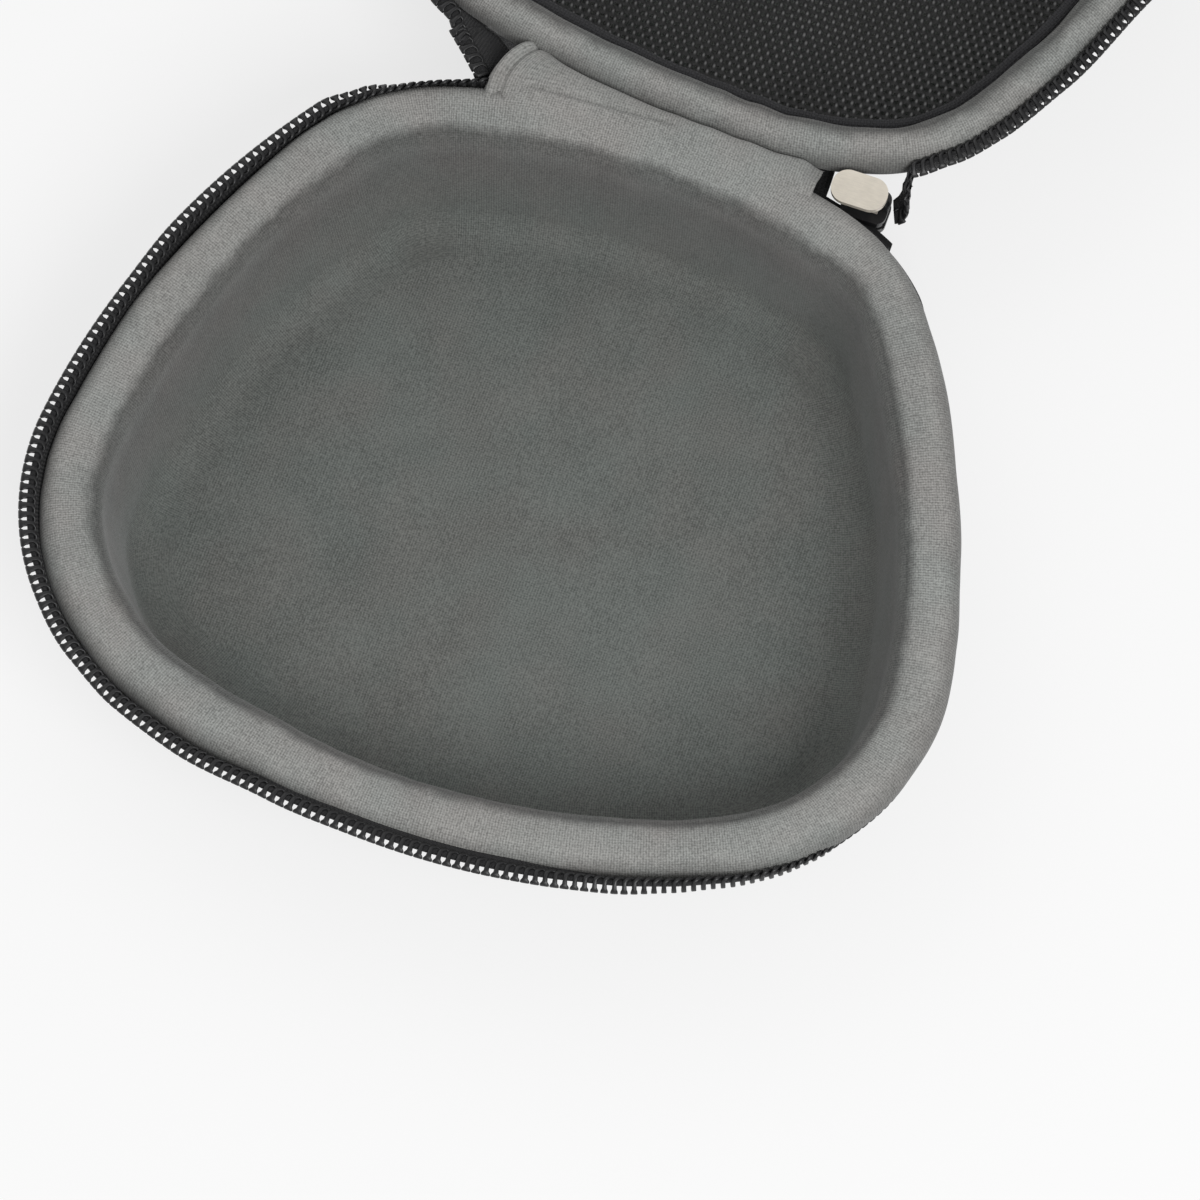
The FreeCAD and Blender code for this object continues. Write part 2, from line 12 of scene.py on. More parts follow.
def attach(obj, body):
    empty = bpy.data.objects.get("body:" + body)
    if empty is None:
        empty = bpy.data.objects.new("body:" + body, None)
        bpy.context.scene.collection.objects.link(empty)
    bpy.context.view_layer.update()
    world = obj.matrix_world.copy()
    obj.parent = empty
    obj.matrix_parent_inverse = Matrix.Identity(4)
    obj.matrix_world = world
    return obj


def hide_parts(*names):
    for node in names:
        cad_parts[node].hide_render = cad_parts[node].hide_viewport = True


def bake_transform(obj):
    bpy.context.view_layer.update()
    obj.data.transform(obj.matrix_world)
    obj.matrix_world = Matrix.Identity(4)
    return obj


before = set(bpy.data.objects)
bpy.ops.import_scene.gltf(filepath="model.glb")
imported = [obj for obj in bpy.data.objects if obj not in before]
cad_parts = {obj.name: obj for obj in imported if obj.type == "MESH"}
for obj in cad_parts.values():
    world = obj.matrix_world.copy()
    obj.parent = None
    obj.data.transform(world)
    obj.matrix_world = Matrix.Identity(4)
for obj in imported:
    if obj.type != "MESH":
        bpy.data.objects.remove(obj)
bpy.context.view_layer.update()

MM = 0.001
TAU = 2 * math.pi

# the outline of the rim's outer flank, as nine tangent arcs
BACK_CORNER = (30.5, 39.0, 38.5)
FRONT_CORNER = (44.5, -20.5, 45.5)
SIDE_RADIUS = 157.0
BACK_RADIUS = 143.0
FRONT_RADIUS = 155.0
RIM = 37.0
HINGE_Y = 82.85
FOLD_Y = 2 * HINGE_Y

# section of one half: distance inwards from the outline, height from the rim and rounding radius
FLOOR_INSET = 24.5
FLOOR = -32.5
FOOT = -37.0


def collar_section(width, inner_round):
    """From under the rim's outer edge over the padded collar and down the wall to the floor."""
    return [(1.4, -7.4), (0.15, -6.2), (0.1, 0.0, 4.4), (width, -0.1, inner_round), (16.0, FLOOR, 6.5),
            (FLOOR_INSET, FLOOR)]


COLLARS = {"base": collar_section(12.0, 5.4), "lid": collar_section(8.0, 3.4)}
SHELL = [(9.0, -7.6), (1.3, -7.6), (4.45, -14.0, 6.5), (9.0, FOOT, 13.0), (FLOOR_INSET, FOOT)]
# distance across the collar's section at which it is creased past its inner roll
CREASE = {"base": 17.3, "lid": 13.6}

# net pocket of the lid: its open edge, its depth below the rim, and its cells
NET_FRONT = -44.0
NET_TOP = -5.2
NET_START = NET_FRONT + 2.2
NET_INSET = 10.6
CELL_ACROSS = 1.84
CELL_UP = 1.56


# outline

def outline_arcs():
    """Centre, radius, start and end angle of each arc, counterclockwise from the back's middle."""
    corner_back = np.array(BACK_CORNER[:2])
    corner_front = np.array(FRONT_CORNER[:2])
    radius_back, radius_front = BACK_CORNER[2], FRONT_CORNER[2]
    back_offset = math.sqrt((BACK_RADIUS - radius_back) ** 2 - corner_back[0] ** 2)
    front_offset = math.sqrt((FRONT_RADIUS - radius_front) ** 2 - corner_front[0] ** 2)
    back = np.array([0, corner_back[1] - back_offset])
    front = np.array([0, corner_front[1] + front_offset])
    along = corner_front - corner_back
    span = np.hypot(*along)
    to_back, to_front = SIDE_RADIUS - radius_back, SIDE_RADIUS - radius_front
    foot = (to_back ** 2 - to_front ** 2 + span ** 2) / (2 * span)
    unit = along / span
    side = corner_back + unit * foot + np.array([unit[1], -unit[0]]) * math.sqrt(to_back ** 2 - foot ** 2)

    def angle(centre, towards):
        return math.atan2(towards[1] - centre[1], towards[0] - centre[0])

    turns = [angle(back, corner_back), angle(side, corner_back), angle(side, corner_front),
             angle(front, corner_front)]
    right = [(front, FRONT_RADIUS, -math.pi / 2, turns[3]),
             (corner_front, radius_front, turns[3], turns[2]),
             (side, SIDE_RADIUS, turns[2], turns[1]),
             (corner_back, radius_back, turns[1], turns[0]),
             (back, BACK_RADIUS, turns[0], math.pi / 2)]
    left = [(c * (-1, 1), r, math.pi - end, math.pi - start) for c, r, start, end in reversed(right)]
    left[-1] = (front, FRONT_RADIUS, left[-1][2], TAU + turns[3])
    return left + right[1:]


ARCS = outline_arcs()
LENGTHS = np.array([r * (end - start) for _, r, start, end in ARCS])
AROUND = LENGTHS.sum()


def outline(s):
    """Points and outward normals at distances s along the outline."""
    s = np.mod(np.asarray(s, float), AROUND)
    ends = np.cumsum(LENGTHS)
    which = np.minimum(np.searchsorted(ends, s, side="right"), len(ARCS) - 1)
    centre = np.array([a[0] for a in ARCS])[which]
    radius = np.array([a[1] for a in ARCS])[which]
    start = np.array([a[2] for a in ARCS])[which]
    angle = start + (s - (ends[which] - LENGTHS[which])) / radius
    normal = np.stack([np.cos(angle), np.sin(angle)], -1)
    return centre + normal * radius[..., None], normal


def rounded(corners, step=0.9):
    """A polyline through corners (x, z[, rounding radius]), as closely spaced points."""
    points = [np.array(c[:2], float) for c in corners]
    out = [points[0]]
    for i, corner in enumerate(corners[1:-1], start=1):
        here = points[i]
        before = points[i - 1] - here
        after = points[i + 1] - here
        before /= np.hypot(*before)
        after /= np.hypot(*after)
        radius = corner[2] if len(corner) > 2 else 0.15
        half = math.acos(np.clip(before @ after, -1, 1)) / 2
        middle = (before + after) / np.hypot(*(before + after))
        centre = here + middle * radius / math.sin(half)
        first = here + before * radius / math.tan(half) - centre
        last = here + after * radius / math.tan(half) - centre
        a0 = math.atan2(first[1], first[0])
        turn = (math.atan2(last[1], last[0]) - a0 + math.pi) % TAU - math.pi
        count = max(3, int(abs(turn) * radius / step) + 2)
        out += [centre + radius * np.array([math.cos(a0 + turn * k), math.sin(a0 + turn * k)])
                for k in np.linspace(0, 1, count)]
    out.append(points[-1])
    dense = [out[0]]
    for p in out[1:]:
        gap = np.hypot(*(p - dense[-1]))
        if gap < 1e-4:
            continue
        pieces = max(1, int(math.ceil(gap / (step * 1.6))))
        dense += [dense[-1] + (p - dense[-1]) * k / pieces for k in range(1, pieces + 1)]
    return np.array(dense)


def lengths_of(section):
    """Distance along a polyline at each of its points."""
    return np.concatenate([[0], np.cumsum(np.hypot(*np.diff(section, axis=0).T))])


def normals_of(section):
    """Unit normals of a polyline, to its left."""
    t = np.gradient(section, axis=0)
    t /= np.hypot(t[:, 0], t[:, 1])[:, None]
    return np.stack([-t[:, 1], t[:, 0]], -1)


def swell(s, v, seed, size, strength):
    """Smooth unevenness of a padded surface, the same in each run; s closes round the outline."""
    rng = np.random.default_rng(seed)
    total = np.zeros(np.broadcast(s, v).shape)
    for _ in range(7):
        turns = max(1, int(round(AROUND / (size * rng.uniform(0.6, 2.2)))))
        across = rng.uniform(-1, 1) * TAU / (size * 1.6)
        wave = np.sin(s * turns * TAU / AROUND + v * across + rng.uniform(0, TAU))
        total = total + wave * rng.uniform(0.4, 1)
    return total * strength / 2.2


def smooth_along(keys, s):
    """Smooth steps between (position, value) keys; a value may be a tuple."""
    positions = np.array([k[0] for k in keys], float)
    values = np.array([k[1] for k in keys], float)
    i = np.clip(np.searchsorted(positions, s, side="right") - 1, 0, len(keys) - 2)
    t = np.clip((s - positions[i]) / (positions[i + 1] - positions[i]), 0, 1)
    t = t * t * (3 - 2 * t)
    if values.ndim > 1:
        t = t[..., None]
    return values[i] + (values[i + 1] - values[i]) * t


def step(x, start, end):
    """Smooth step from 0 at start to 1 at end."""
    t = np.clip((x - start) / (end - start), 0, 1)
    return t * t * (3 - 2 * t)


# how far the soft rim leans outwards from the outline, by distance along the outline
LEAN = {
    "base": [(0, 0.0), (40, 0.5), (62, 1.3), (76, 1.7), (96, 1.2), (116, 0.6), (150, 0.3), (196, 0.2),
             (214, 1.2), (228, 1.1), (244, 0.2), (300, 0.0), (362, -0.2), (378, 0.4), (396, 1.6), (408, 1.3),
             (426, 0.3), (445, -0.3), (490, -0.2), (AROUND, 0.0)],
    "lid": [(0, -0.9), (8, -0.2), (16, 0.8), (24, 2.2), (34, 2.9), (50, 2.8), (60, 2.1), (72, 1.4), (84, 0.6),
            (100, -0.2), (140, 0.0), (460, 0.0), (488, -0.8), (505, -1.8), (518, -2.2), (530, -1.8),
            (AROUND, -0.9)],
}


def lean(half, s):
    """Outward lean of a half's soft rim at distances s along the outline."""
    return smooth_along(LEAN[half], np.mod(s, AROUND))


# meshes

def in_row(points, turned):
    """Millimetres of one half to metres in the row frame; the lid half is turned round the hinge."""
    points = np.asarray(points, float).copy()
    if turned:
        points[..., 0] *= -1
        points[..., 1] = FOLD_Y - points[..., 1]
    return points * MM


def mesh_piece(name, vertices, faces, uvs=None, smooth=True):
    """A mesh object from metres; uvs is one pair per face corner."""
    mesh = bpy.data.meshes.new(name)
    mesh.from_pydata([tuple(v) for v in vertices], [], faces)
    if uvs is not None:
        layer = mesh.uv_layers.new(name="UVMap")
        layer.data.foreach_set("uv", np.asarray(uvs, np.float32).ravel())
    mesh.polygons.foreach_set("use_smooth", [smooth] * len(mesh.polygons))
    mesh.update()
    piece = bpy.data.objects.new(name, mesh)
    bpy.context.scene.collection.objects.link(piece)
    return piece


def grid_piece(name, points, u, v, closed=False, tube=False, turned=False, caps=False, flip=False):
    """A quad grid; closed joins the last row to the first, tube the last column to the first."""
    rows, columns = points.shape[:2]
    u = np.broadcast_to(u, (rows + closed, columns + tube))
    v = np.broadcast_to(v, (rows + closed, columns + tube))
    faces = []
    uvs = []
    for i in range(rows - 1 + closed):
        below = (i + 1) % rows
        for j in range(columns - 1 + tube):
            beside = (j + 1) % columns
            face = [i * columns + j, below * columns + j, below * columns + beside, i * columns + beside]
            corner = [(u[i, j], v[i, j]), (u[i + 1, j], v[i + 1, j]), (u[i + 1, j + 1], v[i + 1, j + 1]),
                      (u[i, j + 1], v[i, j + 1])]
            if flip:
                face.reverse()
                corner.reverse()
            faces.append(face)
            uvs += corner
    if caps and tube:
        for row, order in ((0, 1), (rows - 1, -1)):
            ring = [row * columns + j for j in range(columns)][::order * (-1 if flip else 1)]
            faces.append(ring)
            uvs += [(0.0, 0.0)] * columns
    return mesh_piece(name, in_row(points, turned).reshape(-1, 3), faces, uvs)


def ring_points(s, section, half, push=None):
    """Grid of points of a section swept round a half's outline, with the rim's lean.

    The lean fades out towards the floor; push moves points along the section's normal.
    """
    centre, normal = outline(s)
    leaning = lean(half, s)[:, None] * np.clip((section[:, 1] + 30) / 20, 0, 1)[None, :]
    inset = np.broadcast_to(section[:, 0], (len(s), len(section))).copy()
    height = np.broadcast_to(section[:, 1], (len(s), len(section))).copy()
    if push is not None:
        side = normals_of(section)
        inset += side[:, 0] * push
        height += side[:, 1] * push
    inset -= leaning
    flat = centre[:, None, :] - normal[:, None, :] * inset[..., None]
    return np.concatenate([flat, (RIM + height)[..., None]], -1)


def disc_piece(name, s, inset, height, turned, bulge=None, flip=False):
    """A floor inside the outline: rings that shrink to the middle, with flat texture coordinates."""
    centre, normal = outline(s)
    edge = centre - normal * inset
    middle = edge.mean(0)
    shares = np.linspace(1, 0.03, 30)
    flat = middle + (edge[:, None, :] - middle) * shares[None, :, None]
    z = np.full(flat.shape[:2], RIM + height)
    if bulge is not None:
        z = z + bulge(flat[..., 0], flat[..., 1]) * np.minimum(1, (1 - shares) * 6)
    points = np.concatenate([flat, z[..., None]], -1)
    closed = np.concatenate([flat, flat[:1]], 0)
    piece = grid_piece(name, points, closed[..., 0], closed[..., 1], closed=True, turned=turned, flip=flip)
    mesh = piece.data
    count = len(shares)
    vertices = [tuple(v.co) for v in mesh.vertices]
    vertices.append(tuple(in_row(points[:, -1].mean(0), turned)))
    fan = []
    for i in range(len(s)):
        face = [i * count + count - 1, (i + 1) % len(s) * count + count - 1, len(vertices) - 1]
        fan.append(face[::-1] if flip else face)
    faces = [list(p.vertices) for p in mesh.polygons] + fan
    uvs = [tuple(d.uv) for d in mesh.uv_layers[0].data]
    for face in fan:
        uvs += [tuple(flat[i // count, -1]) if i < len(vertices) - 1 else tuple(middle) for i in face]
    bpy.data.objects.remove(piece)
    return mesh_piece(name, vertices, faces, uvs)


# materials

class Nodes:
    """Short way to build a material's node tree."""

    def __init__(self, name):
        self.material = bpy.data.materials.new(name)
        self.material.use_nodes = True
        self.tree = self.material.node_tree
        self.shader = self.tree.nodes["Principled BSDF"]

    def add(self, kind, inputs=None, **settings):
        """A node with its settings, and its inputs linked or set."""
        node = self.tree.nodes.new(kind)
        for key, value in settings.items():
            setattr(node, key, value)
        for key, value in (inputs or {}).items():
            self.feed(node.inputs[key], value)
        return node

    def feed(self, socket, value):
        """Links a socket or node to a socket, or sets its value."""
        if isinstance(value, bpy.types.NodeSocket):
            self.tree.links.new(value, socket)
        elif isinstance(value, bpy.types.Node):
            self.tree.links.new(value.outputs[0], socket)
        else:
            socket.default_value = value

    def math(self, operation, a, b=0.0, c=0.0):
        node = self.add("ShaderNodeMath", operation=operation)
        for socket, value in zip(node.inputs, (a, b, c)):
            self.feed(socket, value)
        return node.outputs[0]

    def noise(self, vector, scale, detail=2.0, roughness=0.5):
        node = self.add("ShaderNodeTexNoise", {"Vector": vector, "Scale": scale, "Detail": detail,
                                               "Roughness": roughness})
        return node.outputs["Fac"]

    def ramp(self, factor, stops):
        node = self.add("ShaderNodeValToRGB", {"Fac": factor})
        elements = node.color_ramp.elements
        while len(elements) < len(stops):
            elements.new(0.5)
        for element, (position, colour) in zip(elements, stops):
            element.position = position
            element.color = tuple(colour) + (1.0,) if len(colour) == 3 else colour
        return node.outputs["Color"]

    def multiply(self, a, b):
        node = self.add("ShaderNodeMix", data_type="RGBA", blend_type="MULTIPLY")
        for socket, value in ((node.inputs[0], 1.0), (node.inputs[6], a), (node.inputs[7], b)):
            self.feed(socket, value)
        return node.outputs[2]

    def bump(self, height, distance, strength=1.0, normal=None):
        node = self.add("ShaderNodeBump", {"Height": height, "Distance": distance,
                                           "Strength": strength})
        if normal is not None:
            self.feed(node.inputs["Normal"], normal)
        return node.outputs["Normal"]

    def finish(self, **values):
        """Feeds the shader; an underscore stands for a space in the input's name."""
        for key, value in values.items():
            self.feed(self.shader.inputs[key.replace("_", " ")], value)
        return self.material


def grey(value, tint=(1.0, 1.0, 1.0)):
    """A tint at a share of its brightness."""
    return tuple(value * t for t in tint)


def waves(nodes, coordinate, period, distortion, direction="X"):
    """Parallel ridges at a given period in the coordinate's own unit."""
    return nodes.add("ShaderNodeTexWave", {"Vector": coordinate, "Scale": TAU / 20 / period,
                                           "Distortion": distortion, "Detail": 2.0, "Detail Scale": 1.5},
                     wave_type="BANDS", bands_direction=direction).outputs["Fac"]


def brushed_knit(name, colour, painted_shade_from=None):
    """Brushed tricot: fine wales under a short nap, mottled where the nap lies the other way."""
    n = Nodes(name)
    uv = n.add("ShaderNodeUVMap").outputs["UV"]
    place = n.add("ShaderNodeTexCoord").outputs["Object"]
    wales = waves(n, uv, 0.56, 1.2)
    courses = waves(n, uv, 0.5, 2.2, "Y")
    knit = n.math("ADD", n.math("MULTIPLY", wales, 0.65), n.math("MULTIPLY", courses, 0.35))
    nap = n.noise(place, 2300.0, 3.0, 0.65)
    mottle = n.noise(place, 95.0, 3.0, 0.6)
    broad = n.noise(place, 22.0, 2.0, 0.5)
    tone = n.math("ADD", n.math("MULTIPLY", knit, 0.42), n.math("MULTIPLY_ADD", nap, 1.5, -0.49))
    tone = n.math("ADD", tone, n.math("MULTIPLY", mottle, 0.30))
    tone = n.math("ADD", tone, n.math("MULTIPLY", broad, 0.14))
    base = n.ramp(tone, [(0.34, grey(0.58)), (0.70, grey(1.0)), (1.0, grey(1.34))])
    cooler = (colour[0] * 0.95, colour[1], colour[2])
    tint = n.ramp(n.noise(place, 60.0, 2.0), [(0.35, tuple(colour)), (0.65, cooler)])
    shade = n.multiply(tint, base)
    # painted shade: the colour darkens in bands across the rim, at the outer flank and past the inner roll
    # down the wall, with some darker nap there
    if painted_shade_from is not None:
        across = n.add("ShaderNodeSeparateXYZ", {"Vector": uv}).outputs["Y"]
        wander = n.math("MULTIPLY", n.math("SUBTRACT", n.noise(place, 130.0, 4.0, 0.7), 0.5), 5.0)
        depth = n.math("ADD", across, wander)
        band = n.ramp(n.math("DIVIDE", depth, 40.0), painted_shade_from)
        shade = n.multiply(shade, band)
    height = n.math("ADD", n.math("MULTIPLY", knit, 0.45), n.math("MULTIPLY", nap, 0.55))
    normal = n.bump(height, 0.00022, 0.75)
    normal = n.bump(mottle, 0.0006, 0.35, normal)
    return n.finish(Base_Color=shade, Roughness=0.95, Normal=normal, Sheen_Weight=0.25,
                    Sheen_Roughness=0.45, Specular_IOR_Level=0.15)


def woven(name, colour, pitch, relief, twill=False):
    """Plain or twill weave in the piece's own texture coordinates."""
    n = Nodes(name)
    uv = n.add("ShaderNodeUVMap").outputs["UV"]
    place = n.add("ShaderNodeTexCoord").outputs["Object"]
    split = n.add("ShaderNodeSeparateXYZ", {"Vector": uv})
    x = n.math("DIVIDE", split.outputs["X"], pitch)
    y = n.math("DIVIDE", split.outputs["Y"], pitch)
    if twill:
        x = n.math("ADD", x, n.math("MULTIPLY", y, 0.5))
    across = n.math("ABSOLUTE", n.math("SINE", n.math("MULTIPLY", x, math.pi)))
    along = n.math("ABSOLUTE", n.math("SINE", n.math("MULTIPLY", y, math.pi)))
    over = n.math("SIGN", n.math("MULTIPLY", n.math("SINE", n.math("MULTIPLY", x, math.pi)),
                                 n.math("SINE", n.math("MULTIPLY", y, math.pi))))
    over = n.math("MULTIPLY_ADD", over, 0.5, 0.5)
    thread = n.math("ADD", n.math("MULTIPLY", over, across),
                    n.math("MULTIPLY", n.math("SUBTRACT", 1.0, over), along))
    fibre = n.noise(place, 1500.0, 3.0, 0.6)
    worn = n.noise(place, 40.0, 4.0, 0.6)
    height = n.math("ADD", thread, n.math("MULTIPLY", fibre, 0.3))
    tone = n.math("ADD", n.math("MULTIPLY", thread, 0.5), n.math("MULTIPLY", fibre, 0.35))
    tone = n.math("ADD", tone, n.math("MULTIPLY", worn, 0.3))
    shade = n.ramp(tone, [(0.2, grey(0.45, colour)), (0.6, tuple(colour)), (1.0, grey(2.0, colour))])
    rough = n.math("MULTIPLY_ADD", fibre, 0.2, 0.65)
    return n.finish(Base_Color=shade, Roughness=rough, Normal=n.bump(height, relief, 0.9),
                    Sheen_Weight=0.1, Specular_IOR_Level=0.35)


def net_yarn(name, across, up, start):
    """Knitted net: black yarn with raised knots beside the gaps, painted paler as a highlight."""
    n = Nodes(name)
    uv = n.add("ShaderNodeUVMap").outputs["UV"]
    place = n.add("ShaderNodeTexCoord").outputs["Object"]
    split = n.add("ShaderNodeSeparateXYZ", {"Vector": uv})
    column = n.math("DIVIDE", split.outputs["X"], across)
    row = n.math("DIVIDE", n.math("SUBTRACT", split.outputs["Y"], start), up)
    nearest = n.math("ROUND", row)
    odd = n.math("ABSOLUTE", n.math("MODULO", nearest, 2.0))
    moved = n.math("SUBTRACT", column, n.math("MULTIPLY", odd, 0.5))
    aside = n.math("SUBTRACT", n.math("FRACT", moved), 0.5)
    above = n.math("SUBTRACT", row, nearest)
    away = n.math("SQRT", n.math("ADD", n.math("POWER", n.math("MULTIPLY", aside, 1.0), 2.0),
                                 n.math("POWER", n.math("MULTIPLY", above, 0.62), 2.0)))
    knot_and_painted_highlight = n.math("SUBTRACT", 1.0, n.math("MULTIPLY", away, 3.4))
    knot_and_painted_highlight = n.math("MAXIMUM", knot_and_painted_highlight, 0.0)
    fibre = n.noise(place, 2400.0, 3.0, 0.6)
    patch = n.noise(place, 60.0, 3.0, 0.6)
    tone = n.math("MULTIPLY", knot_and_painted_highlight, n.math("MULTIPLY_ADD", patch, 1.0, 0.45))
    # painted highlight: the knots are paler than the black yarn
    shade = n.ramp(tone, [(0.05, grey(0.006)), (0.35, grey(0.022)), (0.8, grey(0.13))])
    height = n.math("ADD", n.math("MULTIPLY", knot_and_painted_highlight, 1.0), n.math("MULTIPLY", fibre, 0.25))
    return n.finish(Base_Color=shade, Roughness=0.6, Normal=n.bump(height, 0.0004, 0.9),
                    Specular_IOR_Level=0.4)


def nylon(name, colour):
    """Drawn nylon of the coil: satin, with fine marks along the wire and a little dust."""
    n = Nodes(name)
    place = n.add("ShaderNodeTexCoord").outputs["Object"]
    marks = n.noise(place, 2200.0, 3.0, 0.6)
    dust = n.noise(place, 160.0, 4.0, 0.7)
    tone = n.math("ADD", n.math("MULTIPLY", marks, 0.5), n.math("MULTIPLY", dust, 0.5))
    shade = n.ramp(tone, [(0.3, grey(0.6, colour)), (0.6, tuple(colour)), (0.85, grey(2.4, colour))])
    rough = n.math("MULTIPLY_ADD", marks, 0.2, 0.3)
    return n.finish(Base_Color=shade, Roughness=rough, Normal=n.bump(marks, 0.00004, 0.6),
                    Specular_IOR_Level=0.5)


def metal(name, colour, roughness, edge, metallic):
    """Satin plated or enamelled metal with fine scratches, blotches and worn tone."""
    n = Nodes(name)
    place = n.add("ShaderNodeTexCoord").outputs["Object"]
    stretched = n.add("ShaderNodeMapping", {"Vector": place, "Scale": (1.0, 9.0, 1.0)}).outputs["Vector"]
    scratches = n.noise(stretched, 500.0, 5.0, 0.7)
    blotches = n.noise(place, 180.0, 3.0, 0.55)
    tone = n.math("ADD", n.math("MULTIPLY", scratches, 0.45), n.math("MULTIPLY", blotches, 0.55))
    shade = n.ramp(tone, [(0.3, grey(0.82, colour)), (0.55, tuple(colour)), (0.8, tuple(edge))])
    rough = n.math("MULTIPLY_ADD", scratches, 0.18, roughness - 0.09)
    return n.finish(Base_Color=shade, Roughness=rough, Normal=n.bump(scratches, 0.00003, 0.5),
                    Metallic=metallic)


LINING_GREY = (0.285, 0.279, 0.268)
# painted shade: the floor's grey is the lining's tricot darkened as if deep in the tub's shadow, with a
# slightly cooler tint
PAINTED_SHADE_FLOOR_GREY = (0.152, 0.156, 0.147)


def nap_and_painted_shade_stops(move):
    """Painted shade across the rim, with some darker nap: dark at the outer flank, and past the inner roll
    down the wall.

    The wall ends in the floor's grey, which is painted shade too, so that no line shows where they meet.
    """
    return [(0.0, grey(0.36)), (0.14, grey(0.66)), (0.24, grey(1.04)), (0.37 + move, grey(0.98)),
            (0.44 + move, grey(0.42)), (0.53 + move, grey(0.60)), (0.64 + move, grey(0.50)),
            (1.0, tuple(f / g for f, g in zip(PAINTED_SHADE_FLOOR_GREY, LINING_GREY)))]


MATERIALS = {
    "base_rim": brushed_knit("brushed_base_rim", LINING_GREY, nap_and_painted_shade_stops(0.0)),
    "lid_rim": brushed_knit("brushed_lid_rim", LINING_GREY, nap_and_painted_shade_stops(-0.11)),
    # the floor's tricot in painted shade
    "floor": brushed_knit("brushed_floor_painted_shade", PAINTED_SHADE_FLOOR_GREY),
    "gusset": brushed_knit("brushed_gusset", LINING_GREY),
    "shell": woven("shell_weave", (0.020, 0.020, 0.022), 0.55, 0.00022),
    "tape": woven("tape_weave", (0.010, 0.010, 0.011), 0.42, 0.00012, twill=True),
    "web": woven("web_weave", (0.012, 0.012, 0.013), 0.8, 0.0002),
    "elastic": woven("elastic_weave", (0.018, 0.018, 0.020), 0.6, 0.0002),
    "net": net_yarn("net_yarn", CELL_ACROSS, CELL_UP, NET_START),
    "coil": nylon("coil_nylon", (0.011, 0.011, 0.012)),
    "slider": metal("slider_enamel", (0.014, 0.014, 0.015), 0.38, (0.05, 0.05, 0.052), 0.0),
    "pull": metal("pull_plate", (0.78, 0.72, 0.62), 0.34, (0.86, 0.81, 0.72), 0.35),
}


def dress(piece, material, body, slot, *nodes):
    """Material, body and the solids that a piece stands for."""
    piece.data.materials.append(MATERIALS[material])
    if body:
        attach(piece, body)
    if nodes:
        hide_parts(*nodes)
    return piece


# lining and shell

ROUND = np.linspace(0, AROUND, 720, endpoint=False)
ROUND_CLOSED = np.append(ROUND, AROUND)


def make_lining(half, turned):
    """The padded rim with its wall, and the floor."""
    section = rounded(COLLARS[half], 0.7)[::-1]
    v = lengths_of(section[::-1])[::-1]
    s = ROUND[:, None]
    push = swell(s, v[None, :], 11 + turned, 34.0, 0.22) + swell(s, v[None, :], 21 + turned, 9.0, 0.05)
    crease = np.exp(-((v - CREASE[half]) / 0.8) ** 2)[None, :]
    depth = 0.32 + 0.16 * np.sin(s / AROUND * TAU * 5 + 1.0) + 0.1 * np.sin(s / AROUND * TAU * 13)
    push = push - crease * depth
    push = push * np.minimum(1, np.minimum(v / 4, (v.max() - v) / 6))[None, :]
    points = ring_points(ROUND, section, half, -push)
    rim = grid_piece(half + "_rim", points, ROUND_CLOSED[:, None], v[None, :], closed=True,
                     turned=turned)
    dress(rim, half + "_rim", half, "lining_tricot", half + "_lining")

    def uneven(x, y):
        return 0.22 * np.sin(x / 17 + 0.5) * np.sin(y / 21) + 0.12 * np.sin(x / 7.3 + y / 9.1)

    floor = disc_piece(half + "_floor", ROUND, FLOOR_INSET, FLOOR, turned, uneven)
    dress(floor, "floor", half, "lining_tricot", half + "_lining")


def make_shell(half, turned):
    """The moulded half's outside with its waist, and its foot."""
    section = rounded(SHELL, 1.2)
    v = lengths_of(section)
    s = ROUND[:, None]
    push = swell(s, v[None, :], 31 + turned, 60.0, 0.12)
    push = push * np.minimum(1, np.maximum(0, (v - 8) / 4))[None, :]
    points = ring_points(ROUND, section, half, push)
    wall = grid_piece(half + "_outside", points, ROUND_CLOSED[:, None], v[None, :], closed=True,
                      turned=turned)
    dress(wall, "shell", half, "shell_cloth", half + "_shell")
    foot = disc_piece(half + "_underside", ROUND, FLOOR_INSET, FOOT, turned, flip=True)
    dress(foot, "shell", half, "shell_cloth", half + "_shell")


for half, turned in (("base", False), ("lid", True)):
    make_lining(half, turned)
    make_shell(half, turned)


# zip

COIL_REACH = 2.46
TAPE_HALF = 0.28
TAPE_EDGE = 0.75
TOOTH_PITCH = 1.87
ZIP_STEPS = 1000
CROSSING_STEPS = 60

# one tooth: place along (share of the pitch), out, up, half width, half thickness, share of the head's spread
TOOTH = [(0.02, -0.2, -0.32, 0.38, 0.22, 0), (0.0, 0.8, -0.38, 0.42, 0.22, 0),
         (0.0, 1.5, -0.34, 0.44, 0.22, 0.1), (0.0, 1.98, -0.2, 0.44, 0.22, 0.9),
         (0.0, 2.22, 0.02, 0.44, 0.2, 1), (0.0, 1.98, 0.24, 0.44, 0.22, 0.9),
         (0.0, 1.5, 0.38, 0.44, 0.22, 0.1), (0.0, 0.8, 0.42, 0.42, 0.22, 0),
         (0.04, -0.2, 0.38, 0.38, 0.22, 0), (0.28, -0.62, 0.24, 0.32, 0.22, 0),
         (0.52, -0.8, 0.0, 0.32, 0.22, 0), (0.78, -0.6, -0.22, 0.32, 0.22, 0)]
# section of the wire, as shares of its half width and half thickness
WIRE = [(1, -0.5), (1, 0.5), (0.72, 1), (-0.72, 1), (-1, 0.5), (-1, -0.5), (-0.72, -1), (0.72, -1)]


